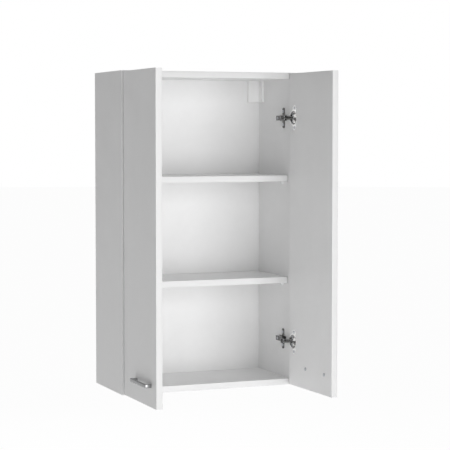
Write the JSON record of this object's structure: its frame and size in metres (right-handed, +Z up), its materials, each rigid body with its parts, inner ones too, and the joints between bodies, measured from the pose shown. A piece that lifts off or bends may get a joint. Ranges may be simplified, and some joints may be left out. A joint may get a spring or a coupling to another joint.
{
  "type": "hanging wall cabinet",
  "caption": "Tall narrow hanging wall cabinet with hinged doors on concealed cup hinges, inner shelves and hidden wall hangers.",
  "frame": {"origin": "middle of the bottom panel's lower rear edge, on the wall plane", "axes": "+Z up, -Y out of the cabinet's front, +X to the right of someone facing it"},
  "size_m": [0.4791, 0.4332, 0.768],
  "materials": {
    "white_board": "white melamine facing on particle board",
    "white_back": "white lacquered thin fibreboard",
    "edge_band": "white plastic edge band",
    "dowel_wood": "plain beech",
    "pin_plastic": "clear to whitish plastic",
    "cover_plastic": "white moulded plastic",
    "handle_metal": "bright plated metal",
    "cam_zinc": "die-cast zinc",
    "hanger_steel": "zinc plated",
    "fastener_steel": "zinc plated",
    "hinge_steel": "nickel plated"
  },
  "bodies": {
    "carcass": {"back_panel": "white_back", "bottom_panel": "white_board", "cam_bolts": "fastener_steel", "cam_locks": "cam_zinc", "carcass_edge_bands": "edge_band", "dowels": "dowel_wood", "hanger_screws": "hanger_steel", "hinge_adjusting_screws": "fastener_steel", "hinge_arm_pins": "fastener_steel", "hinge_plate_screws": "fastener_steel", "left_hanger_cover": "cover_plastic", "left_hanger_hook": "hanger_steel", "left_hanger_housing": "hanger_steel", "left_lower_hinge_arm": "hinge_steel", "left_lower_hinge_plate": "hinge_steel", "left_side_panel": "white_board", "left_upper_hinge_arm": "hinge_steel", "left_upper_hinge_plate": "hinge_steel", "left_wall_plate": "hanger_steel", "lower_shelf": "white_board", "right_hanger_cover": "cover_plastic", "right_hanger_hook": "hanger_steel", "right_hanger_housing": "hanger_steel", "right_lower_hinge_arm": "hinge_steel", "right_lower_hinge_plate": "hinge_steel", "right_side_panel": "white_board", "right_upper_hinge_arm": "hinge_steel", "right_upper_hinge_plate": "hinge_steel", "right_wall_plate": "hanger_steel", "shelf_edge_bands": "edge_band", "shelf_pins": "pin_plastic", "top_panel": "white_board", "upper_shelf": "white_board"},
    "left_outer_links": {"left_lower_outer_link": "hinge_steel", "left_upper_outer_link": "hinge_steel"},
    "left_inner_links": {"left_lower_inner_link": "hinge_steel", "left_upper_inner_link": "hinge_steel"},
    "left_door": {"left_cup_pins": "fastener_steel", "left_cup_screws": "fastener_steel", "left_door_edge_bands": "edge_band", "left_door_panel": "white_board", "left_handle": "handle_metal", "left_handle_screws": "fastener_steel", "left_lower_hinge_cup": "hinge_steel", "left_upper_hinge_cup": "hinge_steel"},
    "right_outer_links": {"right_lower_outer_link": "hinge_steel", "right_upper_outer_link": "hinge_steel"},
    "right_inner_links": {"right_lower_inner_link": "hinge_steel", "right_upper_inner_link": "hinge_steel"},
    "right_door": {"right_cup_pins": "fastener_steel", "right_cup_screws": "fastener_steel", "right_door_edge_bands": "edge_band", "right_door_panel": "white_board", "right_handle": "handle_metal", "right_handle_screws": "fastener_steel", "right_lower_hinge_cup": "hinge_steel", "right_upper_hinge_cup": "hinge_steel"}
  },
  "joints": [
    {"name": "left_outer_link_swing", "type": "hinge", "parent": "carcass", "child": "left_outer_links", "pos_m": [-0.189, -0.2091, 0.384], "axis": [0, 0, -1], "range_deg": [-5.5, 24.4]},
    {"name": "left_door_swing", "type": "hinge", "parent": "left_outer_links", "child": "left_door", "pos_m": [-0.21041, -0.22074, 0.384], "axis": [0, 0, -1], "range_deg": [-114.3, 25.4]},
    {"name": "left_inner_link_swing", "type": "hinge", "parent": "carcass", "child": "left_inner_links", "pos_m": [-0.1893, -0.2155, 0.384], "axis": [0, 0, -1], "range_deg": [-9.7, 43.3]},
    {"name": "right_outer_link_swing", "type": "hinge", "parent": "carcass", "child": "right_outer_links", "pos_m": [0.189, -0.2091, 0.384], "axis": [0, 0, 1], "range_deg": [-4.96, 24.94]},
    {"name": "right_door_swing", "type": "hinge", "parent": "right_outer_links", "child": "right_door", "pos_m": [0.2103, -0.22094, 0.384], "axis": [0, 0, 1], "range_deg": [-116.84, 22.86]},
    {"name": "right_inner_link_swing", "type": "hinge", "parent": "carcass", "child": "right_inner_links", "pos_m": [0.1893, -0.2155, 0.384], "axis": [0, 0, 1], "range_deg": [-8.74, 44.26]}
  ],
  "couplings": [
    {"joint": "left_outer_link_swing", "follows": "left_door_swing", "ratio": -0.2126},
    {"joint": "left_inner_link_swing", "follows": "left_door_swing", "ratio": -0.37795},
    {"joint": "right_outer_link_swing", "follows": "right_door_swing", "ratio": -0.2126},
    {"joint": "right_inner_link_swing", "follows": "right_door_swing", "ratio": -0.37795}
  ]
}
